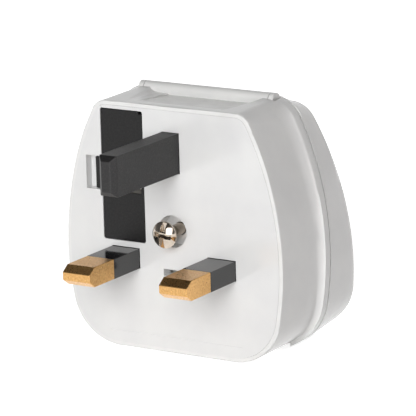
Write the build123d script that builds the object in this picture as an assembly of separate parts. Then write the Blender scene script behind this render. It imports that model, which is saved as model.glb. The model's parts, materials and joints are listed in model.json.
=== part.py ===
from build123d import *
import os
from math import atan2, cos, degrees, pi, sin, sqrt

# Conversion plug: a three-pin fused plug whose back opens on a hinge and holds a two-pin plug.
# Millimetres. X runs to the right as one faces the pins, Y from the face into the body, Z up.
# The origin lies on the face, midway between the live and neutral pins.

# Three rectangular pins
PIN_SPACING = 22.2
EARTH_RISE = 22.2
PIN_WIDTH = 6.35
PIN_HEIGHT = 4.0
PIN_LENGTH = 17.7
NOSE_LENGTH = 1.7
NOSE_HEIGHT = 1.62
EARTH_WIDTH = 4.0
EARTH_HEIGHT = 8.0
EARTH_LENGTH = 22.7
EARTH_BEVEL = 1.0
SLEEVE_LENGTH = 9.05
SLEEVE_WALL = 0.6
SLEEVE_SINK = 1.0
SLEEVE_FIT = 0.02
FLANGE_STEP = 1.0

# Cartridge fuse and its carrier
FUSE_LENGTH = 25.4
FUSE_RADIUS = 3.175
CAP_LENGTH = 6.2
CAP_WALL = 0.25
CAP_END = 0.4
FUSE_FIT = 0.03
FUSE_DEPTH = 6.0
FUSE_ASIDE = 0.15
CARRIER_WIDTH = 9.7
CARRIER_END = 0.5
CARRIER_OVER_PIN = 1.35
CARRIER_THICK = 1.6
CARRIER_CORNER = 0.4
CARRIER_NOTCH_WIDTH = 0.8
CARRIER_NOTCH_HEIGHT = 0.5
CARRIER_GAP = 0.1
CRADLE_GAP = 0.8
CRADLE_WALL = 1.3
CRADLE_REACH = 1.5
WINDOW_HEIGHT = 6.7
WINDOW_SIDE = 0.6
TAB_LENGTH = 1.7
TAB_HEIGHT = 6.4
TAB_SINK = 0.25
POCKET_LENGTH = 2.1
POCKET_DEPTH = 1.9
CLIP_THICK = 0.6
CLIP_LENGTH = 5.0
CLIP_REACH = 2.4
CLIP_END = 0.7
TAIL_WIDTH = 4.0

# Front shell: outline at the face, and how much it has grown at the rim
SIDE_RADIUS = 60.8
WIDEST_Z = 1.29
SIDE_BORDER = 5.1
TOP_BORDER = 1.65
BOTTOM_BORDER = 16.48
TOP_CORNER = 3.66
BOTTOM_CORNER = 10.83
SIDE_GROWTH = 1.4
TOP_GROWTH = 0.5
BOTTOM_GROWTH = 0.83
TOP_CORNER_GROWTH = 3.04
BOTTOM_CORNER_GROWTH = 1.97
DRAFT_SHARE = 0.53
SHELL_DEPTH = 16.05
RIM_WIDTH = 1.98
FLARE_LENGTH = 1.73
FLARE_LEAN = -0.068
FLARE_STEPS = 4
SHELL_WALL = 1.6
EDGE_BEVEL = 0.25

# Face plate, set into the shell against a ledge
PLATE_THICK = 2.5
PLATE_BORDER = 0.95
PLATE_GAP = 0.12
LEDGE_WIDTH = 1.6
LEDGE_THICK = 1.5
PIN_GAP = 0.1
SLOT_WIDTH = 4.7
SLOT_HEIGHT = 1.4
SLOT_DROP = 2.1
SEAM_RISE = 3.28
SEAM_HALF_LENGTH = 15.5
SEAM_WIDTH = 0.2
SEAM_DEPTH = 0.12

# Clamp screw, its captive washer and its nut in the lid
SCREW_RISE = 6.4
SCREW_HEAD_RADIUS = 2.7
SCREW_HEAD_THICK = 2.0
SCREW_HEAD_ROUND = 0.8
SCREW_TRAVEL = 5.1
SHANK_RADIUS = 1.2
THREAD_RADIUS = 1.5
THREAD_LENGTH = 8.9
RECESS_WIDTH = 0.9
RECESS_DEPTH = 1.1
HEAD_HOLE_RADIUS = 3.25
HEAD_HOLE_DEPTH = 3.0
SHANK_HOLE_RADIUS = 1.35
THREAD_HOLE_RADIUS = 1.7
COLLAR_WALL = 1.5
COLLAR_LENGTH = 4.8
WASHER_RADIUS = 2.5
WASHER_THICK = 1.0
WASHER_GAP = 0.05
WASHER_BORE_RADIUS = 2.75
NUT_FLATS = 5.5
NUT_THICK = 2.4
NUT_FIT = 0.05
NUT_AHEAD = 0.6
BOSS_RADIUS = 4.5

# Two-pin plug that goes inside, and the round contacts for it
GUEST_PIN_SPACING = 18.6
GUEST_PIN_LENGTH = 19.0
GUEST_WIDTH = 35.4
GUEST_THICK = 13.7
GUEST_GAP = 0.2
BAY_TOP = 2.8
CONTACT_BORE = 2.05
CONTACT_WALL = 0.45
CONTACT_LENGTH = 18.0
CONTACT_SLIT = 0.8
CONTACT_GAP = 0.1
ENTRY_RADIUS = 2.3
ENTRY_LENGTH = 1.5
STRAP_THICK = 0.8
STRAP_WIDTH = 4.8
STRAP_GAP = 0.2

# Moulded base and cover that hold the contacts
BASE_BACK = 12.5
BASE_GAP = 0.3
BLOCK_HALF_WIDTH = 14.5
BLOCK_CROWN = 1.2
VALLEY_HALF_WIDTH = 5.2
VALLEY_TOP = 13.5
COVER_WALL = 1.0
COVER_BEVEL = 1.2
PILLAR_WALL = 2.0
BASE_SCREW_ASIDE = 18.5
BASE_SCREW_RISE = 8.0
BASE_SCREW_RADIUS = 1.45
BASE_SCREW_HEAD = 2.4
BASE_SCREW_HEAD_THICK = 1.4
BASE_SCREW_TIP_GAP = 0.5
BASE_BOSS_RADIUS = 2.75
BASE_BOSS_LENGTH = 3.5
COVER_SCREW_RISE = 18.5
COVER_SCREW_RADIUS = 1.1
COVER_SCREW_HEAD = 2.1
COVER_SCREW_LENGTH = 6.5
SCREW_FIT = 0.05
BOSS_GAP = 0.1

# Lid and hinge
LID_GAP = 0.25
LID_WALL = 1.6
LID_DRAFT = 1.1
LID_TOP_DRAFT = 2.0
LID_LEAN = -0.166
LID_ROUND = 3.0
LID_ROUND_STEPS = 4
KNUCKLE_RADIUS = 1.45
KNUCKLE_SINK = 0.65
KNUCKLE_HALF_LENGTH = 14.4
SCOOP_FRONT = 2.0
SCOOP_DEPTH = 1.0
SCOOP_CORNER = 4.0
SCOOP_STEP = 0.3
SCOOP_STEP_X = -8.5
EAR_GAP = 0.15
EAR_WIDTH = 1.05
EAR_END = 0.3
EAR_ROOM = 0.6
HINGE_PIN_RADIUS = 0.6
HINGE_PIN_PLAY = 0.05
HINGE_PIN_FIT = 0.01

# Places that follow from the sizes above
PIN_X = PIN_SPACING / 2
FUSE_X = -PIN_X - FUSE_ASIDE
CARRIER_BOTTOM = PIN_HEIGHT / 2 + CARRIER_OVER_PIN
CARRIER_HEIGHT = FUSE_LENGTH + 2 * CARRIER_END
CRADLE_LENGTH = FUSE_LENGTH - 2 * CAP_LENGTH - 2 * CRADLE_GAP
CARRIER_TOP = CARRIER_BOTTOM + CARRIER_HEIGHT
CARRIER_Z = (CARRIER_BOTTOM + CARRIER_TOP) / 2
CARRIER_LEFT = FUSE_X - CARRIER_WIDTH / 2
CARRIER_RIGHT = FUSE_X + CARRIER_WIDTH / 2
FUSE_BOTTOM = CARRIER_Z - FUSE_LENGTH / 2
FUSE_TOP = CARRIER_Z + FUSE_LENGTH / 2
POCKET_LEFT = CARRIER_LEFT - TAB_LENGTH - POCKET_LENGTH
CLIP_RADIUS = FUSE_RADIUS + FUSE_FIT
CLIP_BACK = FUSE_DEPTH + CLIP_RADIUS + CLIP_THICK
ROOT_END = CLIP_BACK - CLIP_THICK
LEDGE_BACK = PLATE_THICK + LEDGE_THICK
FACE_HALF_WIDTH = SIDE_BORDER - POCKET_LEFT
FACE_TOP = CARRIER_TOP + TOP_BORDER
FACE_BOTTOM = -PIN_HEIGHT / 2 - BOTTOM_BORDER
FACE_SIZES = (FACE_HALF_WIDTH, FACE_TOP, FACE_BOTTOM, TOP_CORNER, BOTTOM_CORNER)
GROWTHS = (SIDE_GROWTH, TOP_GROWTH, -BOTTOM_GROWTH, TOP_CORNER_GROWTH, BOTTOM_CORNER_GROWTH)
RIM_FRONT = SHELL_DEPTH - RIM_WIDTH
FLARE_FRONT = RIM_FRONT - FLARE_LENGTH
LID_FRONT = SHELL_DEPTH + LID_GAP
HINGE_Y = SHELL_DEPTH - KNUCKLE_RADIUS
HINGE_Z = FACE_TOP + TOP_GROWTH - KNUCKLE_SINK
EAR_START = KNUCKLE_HALF_LENGTH + EAR_GAP
EAR_STOP = EAR_START + EAR_WIDTH
HINGE_PIN_END = EAR_STOP - EAR_END - HINGE_PIN_PLAY
BAY_FRONT = BASE_BACK + GUEST_GAP
GUEST_DEPTH = BAY_FRONT + GUEST_GAP + GUEST_THICK / 2
BAY_BACK = GUEST_DEPTH + GUEST_THICK / 2 + GUEST_GAP
BAY_HALF_WIDTH = GUEST_WIDTH / 2 + GUEST_GAP
GUEST_X = GUEST_PIN_SPACING / 2
BLOCK_BOTTOM = BAY_TOP + GUEST_GAP
CONTACT_BOTTOM = BLOCK_BOTTOM + ENTRY_LENGTH
CONTACT_TOP = CONTACT_BOTTOM + CONTACT_LENGTH
CONTACT_RADIUS = CONTACT_BORE + CONTACT_WALL
BLOCK_TOP = CONTACT_TOP + STRAP_THICK + BLOCK_CROWN
COVER_BACK = GUEST_DEPTH + CONTACT_RADIUS + CONTACT_GAP + COVER_WALL
LID_BACK = BAY_BACK + GUEST_GAP + LID_WALL - LID_LEAN * BAY_TOP
COLLAR_RADIUS = HEAD_HOLE_RADIUS + COLLAR_WALL
COLLAR_BACK = HEAD_HOLE_DEPTH + COLLAR_LENGTH
WASHER_FRONT = COLLAR_BACK + WASHER_GAP
WASHER_BACK = WASHER_FRONT + WASHER_THICK
WASHER_STOP = WASHER_BACK + SCREW_TRAVEL + WASHER_GAP
PILLAR_RADIUS = WASHER_BORE_RADIUS + PILLAR_WALL
PILLAR_BACK = WASHER_STOP + COVER_WALL
HEAD_BACK = HEAD_HOLE_DEPTH - SCREW_TRAVEL
THREAD_FRONT = WASHER_BACK + WASHER_GAP
THREAD_END = THREAD_FRONT + THREAD_LENGTH
NUT_FRONT = THREAD_END + NUT_AHEAD
NUT_BACK = NUT_FRONT + NUT_THICK
BOSS_FRONT = NUT_FRONT - WASHER_GAP
BOSS_BOTTOM = BLOCK_BOTTOM


def upright(depth, lean=0.0):
    """Upright plane at a depth from the face; it leans back by lean per millimetre of height."""
    return Plane(origin=(0, depth, 0), x_dir=(1, 0, 0), z_dir=(0, -1, lean))


def block(x0, x1, y0, y1, z0, z1):
    """Box between two corners."""
    return Pos((x0 + x1) / 2, (y0 + y1) / 2, (z0 + z1) / 2) * Box(x1 - x0, y1 - y0, z1 - z0)


def slab(profile, front, back):
    """Profile drawn as seen on the face, carried straight back from one depth to another."""
    return extrude(upright(front) * profile, amount=front - back)


def rod_back(x, z, radius, front, back):
    """Round bar that runs from front to back."""
    return slab(Pos(x, z) * Circle(radius), front, back)


def rod_across(y, z, radius, left, right):
    """Round bar that runs from left to right."""
    rod = Cylinder(radius, right - left, align=(Align.CENTER, Align.CENTER, Align.MIN))
    return Pos(left, y, z) * Rotation(0, 90, 0) * rod


def rod_up(x, y, radius, bottom, top):
    """Round bar that runs from bottom to top."""
    return Pos(x, y, bottom) * Cylinder(radius, top - bottom, align=(Align.CENTER, Align.CENTER, Align.MIN))


def grown(share):
    """Outline sizes part way from the face (0) to the rim (1)."""
    return [size + share * growth for size, growth in zip(FACE_SIZES, GROWTHS)]


def wall_share(depth):
    """Share of the growth that the drafted side wall has reached at a depth."""
    return DRAFT_SHARE * depth / FLARE_FRONT


def outline(sizes, inset=0.0):
    """Outline of the plug: flat top and bottom, bulging sides and four round corners."""
    half_width, top, bottom, top_corner, bottom_corner = sizes
    side_x = half_width - SIDE_RADIUS
    low_z = bottom + bottom_corner
    low_x = side_x + sqrt((SIDE_RADIUS - bottom_corner) ** 2 - (low_z - WIDEST_Z) ** 2)
    high_z = top - top_corner
    high_x = side_x + sqrt((SIDE_RADIUS - top_corner) ** 2 - (high_z - WIDEST_Z) ** 2)
    low_angle = degrees(atan2(low_z - WIDEST_Z, low_x - side_x))
    high_angle = degrees(atan2(high_z - WIDEST_Z, high_x - side_x))
    right = [
        CenterArc((low_x, low_z), bottom_corner - inset, -90, 90 + low_angle),
        CenterArc((side_x, WIDEST_Z), SIDE_RADIUS - inset, low_angle, high_angle - low_angle),
        CenterArc((high_x, high_z), top_corner - inset, high_angle, 90 - high_angle),
    ]
    left = [mirror(arc, Plane.YZ) for arc in right]
    flats = [
        Line((-low_x, bottom + inset), (low_x, bottom + inset)),
        Line((high_x, top - inset), (-high_x, top - inset)),
    ]
    return make_face(Curve() + right + left + flats)


def pin_section(x, z, width, height, margin=0.0):
    """Rectangle of a pin as seen on the face, widened all round by a margin."""
    return Pos(x, z) * Rectangle(width + 2 * margin, height + 2 * margin)


def hinge_scoop():
    """Shallow scoop in the top wall, deepest at the knuckle and a little less deep at its left end."""
    cuts = []
    for depth in (SCOOP_DEPTH, SCOOP_DEPTH - SCOOP_STEP):
        tall = 2 * SCOOP_CORNER + depth
        section = RectangleRounded(2 * KNUCKLE_HALF_LENGTH, tall, SCOOP_CORNER)
        section = upright(HINGE_Y) * Pos(0, FACE_TOP - depth + tall / 2) * section
        reach = HINGE_Y - SCOOP_FRONT
        cuts.append(extrude(section, amount=sqrt(reach ** 2 + depth ** 2), dir=(0, -reach, depth)))
    deep, shallow = cuts
    left_end = block(-KNUCKLE_HALF_LENGTH, SCOOP_STEP_X, 0, HINGE_Y, FACE_BOTTOM, 2 * FACE_TOP)
    return deep - left_end + shallow


def make_housing():
    """Front shell: drafted wall, cove up to the rim, ledge for the plate, knuckle along the top."""
    sections = [upright(0) * outline(grown(0))]
    for step in range(FLARE_STEPS):
        turn = pi / 2 * step / FLARE_STEPS
        depth = FLARE_FRONT + FLARE_LENGTH * sin(turn)
        share = DRAFT_SHARE + (1 - DRAFT_SHARE) * (1 - cos(turn))
        sections.append(upright(depth, FLARE_LEAN * (1 - sin(turn))) * outline(grown(share)))
    sections.append(upright(RIM_FRONT) * outline(grown(1)))
    sections.append(upright(SHELL_DEPTH) * outline(grown(1)))
    shell = loft(sections, ruled=True)
    ends = shell.faces().filter_by(Axis.Y)
    shell = chamfer(ends.sort_by(Axis.Y)[0].edges() + ends.sort_by(Axis.Y)[-1].edges(), EDGE_BEVEL)

    shell -= hinge_scoop()
    shell += rod_across(HINGE_Y, HINGE_Z, KNUCKLE_RADIUS, -KNUCKLE_HALF_LENGTH, KNUCKLE_HALF_LENGTH)
    shell += block(
        -KNUCKLE_HALF_LENGTH, KNUCKLE_HALF_LENGTH, HINGE_Y - KNUCKLE_RADIUS, HINGE_Y,
        FACE_TOP - SCOOP_DEPTH - EDGE_BEVEL, HINGE_Z,
    )
    shell -= slab(outline(grown(0), PLATE_BORDER - PLATE_GAP), 0, PLATE_THICK)
    shell -= slab(outline(grown(0), PLATE_BORDER + LEDGE_WIDTH), PLATE_THICK, LEDGE_BACK)
    cavity = [
        upright(LEDGE_BACK) * outline(grown(wall_share(LEDGE_BACK)), SHELL_WALL),
        upright(FLARE_FRONT) * outline(grown(DRAFT_SHARE), SHELL_WALL),
        upright(SHELL_DEPTH) * outline(grown(1), SHELL_WALL),
    ]
    room = loft(cavity, ruled=True)
    room -= rod_across(HINGE_Y, HINGE_Z, KNUCKLE_RADIUS, -KNUCKLE_HALF_LENGTH, KNUCKLE_HALF_LENGTH)
    shell -= room
    shell -= block(
        CARRIER_LEFT - CARRIER_GAP, CARRIER_RIGHT + CARRIER_GAP,
        PLATE_THICK, LEDGE_BACK, CARRIER_BOTTOM, FACE_TOP - SHELL_WALL,
    )
    shell -= rod_across(HINGE_Y, HINGE_Z, HINGE_PIN_RADIUS + HINGE_PIN_PLAY, -EAR_STOP, EAR_STOP)
    notch_radius = KNUCKLE_RADIUS + EAR_GAP
    for side in (-1, 1):
        inner = side * KNUCKLE_HALF_LENGTH
        outer = side * (EAR_STOP + EAR_ROOM)
        shell -= rod_across(HINGE_Y, HINGE_Z, notch_radius, min(inner, outer), max(inner, outer))
        shell -= block(
            min(inner, outer), max(inner, outer), HINGE_Y, LID_FRONT,
            HINGE_Z - notch_radius, HINGE_Z + 2 * notch_radius,
        )
    shell -= block(-BAY_HALF_WIDTH, BAY_HALF_WIDTH, BAY_FRONT, LID_FRONT, 2 * FACE_BOTTOM, BAY_TOP)
    return shell


def make_face_plate():
    """Plate with the pin holes, the carrier's opening, the screwdriver pocket and three bosses."""
    plate = slab(outline(grown(0), PLATE_BORDER), 0, PLATE_THICK)
    plate += rod_back(0, SCREW_RISE, COLLAR_RADIUS, PLATE_THICK, COLLAR_BACK)
    for side in (-1, 1):
        aside = side * BASE_SCREW_ASIDE
        boss_back = PLATE_THICK + BASE_BOSS_LENGTH
        plate += rod_back(aside, BASE_SCREW_RISE, BASE_BOSS_RADIUS, PLATE_THICK, boss_back)
        plate -= rod_back(aside, BASE_SCREW_RISE, BASE_SCREW_RADIUS + SCREW_FIT / 2, PLATE_THICK, boss_back)
        plate -= slab(pin_section(side * PIN_X, 0, PIN_WIDTH, PIN_HEIGHT, PIN_GAP), 0, PLATE_THICK)
    plate -= slab(pin_section(0, EARTH_RISE, EARTH_WIDTH, EARTH_HEIGHT, PIN_GAP), 0, PLATE_THICK)
    opening = RectangleRounded(
        CARRIER_WIDTH + 2 * CARRIER_GAP, CARRIER_HEIGHT + 2 * CARRIER_GAP, CARRIER_CORNER + CARRIER_GAP
    )
    plate -= slab(Pos(FUSE_X, CARRIER_Z) * opening, 0, PLATE_THICK)
    tab_room = TAB_HEIGHT / 2 + 2 * CARRIER_GAP
    tab_left = CARRIER_LEFT - TAB_LENGTH - CARRIER_GAP
    plate -= block(tab_left, FUSE_X, 0, PLATE_THICK, CARRIER_Z - tab_room, CARRIER_Z + tab_room)
    plate -= block(POCKET_LEFT, FUSE_X, 0, POCKET_DEPTH, CARRIER_Z - tab_room, CARRIER_Z + tab_room)
    plate -= rod_back(0, SCREW_RISE, HEAD_HOLE_RADIUS, 0, HEAD_HOLE_DEPTH)
    plate -= rod_back(0, SCREW_RISE, SHANK_HOLE_RADIUS, 0, COLLAR_BACK)
    plate -= slab(Pos(0, -SLOT_DROP) * Rectangle(SLOT_WIDTH, SLOT_HEIGHT), 0, PLATE_THICK)
    seam = Pos(0, FACE_BOTTOM + SEAM_RISE) * Rectangle(2 * SEAM_HALF_LENGTH, SEAM_WIDTH)
    return plate - slab(seam, 0, SEAM_DEPTH)


def make_earth_pin():
    """Solid plastic pin with a bevelled nose and a flange behind the plate."""
    shaft = slab(pin_section(0, EARTH_RISE, EARTH_WIDTH, EARTH_HEIGHT), -EARTH_LENGTH, PLATE_THICK)
    shaft = chamfer(shaft.faces().sort_by(Axis.Y)[0].edges(), EARTH_BEVEL)
    flange = pin_section(0, EARTH_RISE, EARTH_WIDTH, EARTH_HEIGHT, FLANGE_STEP)
    return shaft + slab(flange, PLATE_THICK, LEDGE_BACK)


def make_power_pin(x):
    """Brass pin: wedge nose, bare length, thinner neck under the sleeve, flange and root."""
    bare_back = -SLEEVE_LENGTH
    shoulder = -PIN_LENGTH + NOSE_LENGTH
    profile = Polyline(
        (-PIN_LENGTH, NOSE_HEIGHT / 2),
        (shoulder, PIN_HEIGHT / 2),
        (bare_back, PIN_HEIGHT / 2),
        (bare_back, -PIN_HEIGHT / 2),
        (shoulder, -PIN_HEIGHT / 2),
        (-PIN_LENGTH, -NOSE_HEIGHT / 2),
        close=True,
    )
    pin = extrude(Plane.YZ.offset(x - PIN_WIDTH / 2) * make_face(profile), amount=PIN_WIDTH)
    neck_margin = -SLEEVE_WALL - SLEEVE_FIT
    pin += slab(pin_section(x, 0, PIN_WIDTH, PIN_HEIGHT, neck_margin), bare_back, SLEEVE_SINK)
    pin += slab(pin_section(x, 0, PIN_WIDTH, PIN_HEIGHT), SLEEVE_SINK, ROOT_END)
    pin += slab(pin_section(x, 0, PIN_WIDTH, PIN_HEIGHT, FLANGE_STEP), PLATE_THICK, LEDGE_BACK)
    return pin


def make_sleeve(x):
    """Plastic sleeve that lies flush round the neck of a pin."""
    tube = slab(pin_section(x, 0, PIN_WIDTH, PIN_HEIGHT), -SLEEVE_LENGTH, SLEEVE_SINK)
    return tube - slab(pin_section(x, 0, PIN_WIDTH, PIN_HEIGHT, -SLEEVE_WALL), -SLEEVE_LENGTH, SLEEVE_SINK)


def make_fuse_carrier():
    """Front bar with a tab and a window, and a cradle behind it that grips the fuse barrel."""
    bar = RectangleRounded(CARRIER_WIDTH, CARRIER_HEIGHT, CARRIER_CORNER)
    carrier = slab(Pos(FUSE_X, CARRIER_Z) * bar, 0, CARRIER_THICK)
    carrier -= block(
        CARRIER_RIGHT - CARRIER_NOTCH_WIDTH, CARRIER_RIGHT, 0, CARRIER_THICK,
        CARRIER_TOP - CARRIER_NOTCH_HEIGHT, CARRIER_TOP,
    )
    cradle = CLIP_RADIUS + CRADLE_WALL
    half_cradle = CRADLE_LENGTH / 2
    carrier += block(
        FUSE_X - cradle, FUSE_X + cradle, CARRIER_THICK, FUSE_DEPTH + CRADLE_REACH,
        CARRIER_Z - half_cradle, CARRIER_Z + half_cradle,
    )
    barrel_room = FUSE_RADIUS - CAP_WALL + FUSE_FIT
    carrier -= rod_up(FUSE_X, FUSE_DEPTH, barrel_room, FUSE_BOTTOM, FUSE_TOP)
    carrier -= block(
        FUSE_X - cradle, CARRIER_RIGHT - WINDOW_SIDE, 0, FUSE_DEPTH - barrel_room / 2,
        CARRIER_Z - WINDOW_HEIGHT / 2, CARRIER_Z + WINDOW_HEIGHT / 2,
    )
    carrier += block(
        CARRIER_LEFT - TAB_LENGTH, FUSE_X - cradle, TAB_SINK, CARRIER_THICK,
        CARRIER_Z - TAB_HEIGHT / 2, CARRIER_Z + TAB_HEIGHT / 2,
    )
    return carrier


def make_fuse_barrel():
    """Ceramic tube of the fuse."""
    return rod_up(FUSE_X, FUSE_DEPTH, FUSE_RADIUS - CAP_WALL, FUSE_BOTTOM + CAP_END, FUSE_TOP - CAP_END)


def make_fuse_cap(end, inward):
    """Metal cap over one end of the barrel; inward is the end of its skirt."""
    cap = rod_up(FUSE_X, FUSE_DEPTH, FUSE_RADIUS, min(end, inward), max(end, inward))
    return cap - rod_up(
        FUSE_X, FUSE_DEPTH, FUSE_RADIUS - CAP_WALL, min(end, inward) + CAP_END * (end < inward),
        max(end, inward) - CAP_END * (end > inward),
    )


def make_fuse_clip(bottom):
    """U-shaped spring clip, open to the front, round one fuse cap."""
    outer = CLIP_RADIUS + CLIP_THICK
    clip = rod_up(FUSE_X, FUSE_DEPTH, outer, bottom, bottom + CLIP_LENGTH)
    clip += block(
        FUSE_X - outer, FUSE_X + outer, FUSE_DEPTH - CLIP_REACH, FUSE_DEPTH, bottom, bottom + CLIP_LENGTH
    )
    clip -= rod_up(FUSE_X, FUSE_DEPTH, CLIP_RADIUS, bottom, bottom + CLIP_LENGTH)
    return clip - block(
        FUSE_X - CLIP_RADIUS, FUSE_X + CLIP_RADIUS,
        FUSE_DEPTH - outer, FUSE_DEPTH, bottom, bottom + CLIP_LENGTH,
    )


def make_lower_clip():
    """Lower clip with the tail that presses on the root of the live pin."""
    bottom = FUSE_BOTTOM + CLIP_END
    tail = block(
        FUSE_X - TAIL_WIDTH / 2, FUSE_X + TAIL_WIDTH / 2,
        ROOT_END, CLIP_BACK, -PIN_HEIGHT / 2, bottom + CLIP_LENGTH,
    )
    return make_fuse_clip(bottom) + tail


def make_upper_clip():
    """Upper clip with the tongue that reaches down to the strap of the live contact."""
    bottom = FUSE_TOP - CLIP_END - CLIP_LENGTH
    tongue = block(
        FUSE_X - TAIL_WIDTH / 2, FUSE_X + TAIL_WIDTH / 2,
        ROOT_END, CLIP_BACK, CONTACT_TOP, bottom + CLIP_LENGTH,
    )
    return make_fuse_clip(bottom) + tongue


def make_contact_tube(x):
    """Slit brass tube that grips a round pin."""
    tube = rod_up(x, GUEST_DEPTH, CONTACT_RADIUS, CONTACT_BOTTOM, CONTACT_TOP)
    tube -= rod_up(x, GUEST_DEPTH, CONTACT_BORE, CONTACT_BOTTOM, CONTACT_TOP)
    return tube - block(
        x - CONTACT_SLIT / 2, x + CONTACT_SLIT / 2, GUEST_DEPTH, GUEST_DEPTH + CONTACT_RADIUS,
        CONTACT_BOTTOM, CONTACT_TOP,
    )


def live_strap(gap=0.0):
    """Flat strap over the live contact, out to the tongue of the upper fuse clip."""
    return block(
        -GUEST_X - STRAP_WIDTH / 2 - gap, -GUEST_X + STRAP_WIDTH / 2 + gap,
        CLIP_BACK - gap, GUEST_DEPTH + CONTACT_RADIUS + gap,
        CONTACT_TOP - gap / 2, CONTACT_TOP + STRAP_THICK + gap,
    )


def neutral_strap(gap=0.0):
    """Bent strap from the root of the neutral pin up and back to the neutral contact."""
    left = GUEST_X - STRAP_WIDTH / 2 - gap
    right = GUEST_X + STRAP_WIDTH / 2 + gap
    corner_z = CONTACT_BOTTOM + 2 * STRAP_WIDTH
    corner_y = ROOT_END + STRAP_THICK
    riser = block(left, right, ROOT_END, corner_y + gap, -PIN_HEIGHT / 2 - gap, corner_z + gap)
    return riser + block(
        left, right, corner_y, GUEST_DEPTH - CONTACT_BORE, corner_z - STRAP_THICK - gap, corner_z + gap
    )


def make_contact_base():
    """Moulded base: fuse bay, seats for the pin roots, pillar for the screw, cradles for the contacts."""
    base = slab(outline(grown(wall_share(LEDGE_BACK)), SHELL_WALL + BASE_GAP), LEDGE_BACK, BASE_BACK)
    base += block(-BLOCK_HALF_WIDTH, BLOCK_HALF_WIDTH, BASE_BACK, GUEST_DEPTH, BLOCK_BOTTOM, BLOCK_TOP)
    base -= block(-VALLEY_HALF_WIDTH, VALLEY_HALF_WIDTH, BASE_BACK, GUEST_DEPTH, BLOCK_BOTTOM, VALLEY_TOP)
    pillar = rod_back(0, SCREW_RISE, PILLAR_RADIUS, BASE_BACK, PILLAR_BACK)
    base += pillar - block(-PILLAR_RADIUS, PILLAR_RADIUS, 0, GUEST_DEPTH, FACE_BOTTOM, BLOCK_BOTTOM)
    base -= rod_back(0, SCREW_RISE, COLLAR_RADIUS + BOSS_GAP, LEDGE_BACK, COLLAR_BACK)
    base -= rod_back(0, SCREW_RISE, WASHER_BORE_RADIUS, COLLAR_BACK, WASHER_STOP)
    base -= rod_back(0, SCREW_RISE, THREAD_HOLE_RADIUS, WASHER_STOP, PILLAR_BACK)
    base -= block(
        CARRIER_LEFT - CARRIER_GAP, CARRIER_RIGHT + CARRIER_GAP,
        LEDGE_BACK, CLIP_BACK + STRAP_GAP, CARRIER_BOTTOM - CARRIER_GAP, FACE_TOP,
    )
    base -= block(
        FUSE_X - TAIL_WIDTH / 2 - STRAP_GAP, FUSE_X + TAIL_WIDTH / 2 + STRAP_GAP,
        ROOT_END, CLIP_BACK + STRAP_GAP, -PIN_HEIGHT / 2 - STRAP_GAP, CARRIER_BOTTOM,
    )
    base -= live_strap(STRAP_GAP)
    base -= neutral_strap(STRAP_GAP)
    base -= slab(Pos(0, -SLOT_DROP) * Rectangle(SLOT_WIDTH, SLOT_HEIGHT), LEDGE_BACK, FUSE_DEPTH)
    for side in (-1, 1):
        base -= slab(pin_section(side * PIN_X, 0, PIN_WIDTH, PIN_HEIGHT, PIN_GAP), LEDGE_BACK, ROOT_END)
        base -= contact_room(side * GUEST_X)
        aside = side * BASE_SCREW_ASIDE
        base -= rod_back(
            aside, BASE_SCREW_RISE, BASE_BOSS_RADIUS + BOSS_GAP,
            LEDGE_BACK, PLATE_THICK + BASE_BOSS_LENGTH + BOSS_GAP,
        )
        base -= rod_back(aside, BASE_SCREW_RISE, BASE_SCREW_RADIUS + BOSS_GAP, LEDGE_BACK, BASE_BACK)
    base -= rod_back(
        0, COVER_SCREW_RISE, COVER_SCREW_RADIUS + SCREW_FIT / 2,
        GUEST_DEPTH - COVER_SCREW_LENGTH, GUEST_DEPTH,
    )
    return base


def contact_room(x):
    """Room for a contact tube, with the entry hole under it."""
    room = rod_up(x, GUEST_DEPTH, CONTACT_RADIUS + CONTACT_GAP, CONTACT_BOTTOM, CONTACT_TOP + CONTACT_GAP)
    return room + rod_up(x, GUEST_DEPTH, ENTRY_RADIUS, BLOCK_BOTTOM, CONTACT_BOTTOM)


def make_contact_cover():
    """Bridge-shaped cover that shuts the contacts in from behind."""
    cover = block(-BLOCK_HALF_WIDTH, BLOCK_HALF_WIDTH, GUEST_DEPTH, COVER_BACK, BLOCK_BOTTOM, BLOCK_TOP)
    cover = chamfer(cover.edges().filter_by(Axis.X).group_by(Axis.Y)[-1].group_by(Axis.Z)[-1], COVER_BEVEL)
    cover -= block(-VALLEY_HALF_WIDTH, VALLEY_HALF_WIDTH, GUEST_DEPTH, COVER_BACK, BLOCK_BOTTOM, VALLEY_TOP)
    cover -= live_strap(STRAP_GAP)
    for side in (-1, 1):
        cover -= contact_room(side * GUEST_X)
    cover -= rod_back(0, COVER_SCREW_RISE, COVER_SCREW_RADIUS + BOSS_GAP, GUEST_DEPTH, COVER_BACK)
    head_room = COVER_SCREW_HEAD + BOSS_GAP
    return cover - rod_back(0, COVER_SCREW_RISE, head_room, COVER_BACK - BASE_SCREW_HEAD_THICK, COVER_BACK)


def make_clamp_screw():
    """Captive screw, shown loosened: domed head, thin shank, thread behind the washer."""
    head_front = HEAD_BACK - SCREW_HEAD_THICK
    head = rod_back(0, SCREW_RISE, SCREW_HEAD_RADIUS, head_front, HEAD_BACK)
    head = fillet(head.edges().filter_by(GeomType.CIRCLE).sort_by(Axis.Y)[0], SCREW_HEAD_ROUND)
    slot_long = Rectangle(RECESS_WIDTH, 2 * SCREW_HEAD_RADIUS)
    slot_short = Rectangle(SCREW_HEAD_RADIUS, RECESS_WIDTH)
    for cut in (slot_long, slot_short):
        head -= slab(Pos(0, SCREW_RISE) * cut, head_front, head_front + RECESS_DEPTH)
    shank = rod_back(0, SCREW_RISE, SHANK_RADIUS, HEAD_BACK, THREAD_FRONT)
    thread = rod_back(0, SCREW_RISE, THREAD_RADIUS, THREAD_FRONT, THREAD_END)
    tip = thread.edges().filter_by(GeomType.CIRCLE).sort_by(Axis.Y)[-1]
    thread = chamfer(tip, THREAD_RADIUS - SHANK_RADIUS)
    return head + shank + thread


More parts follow.
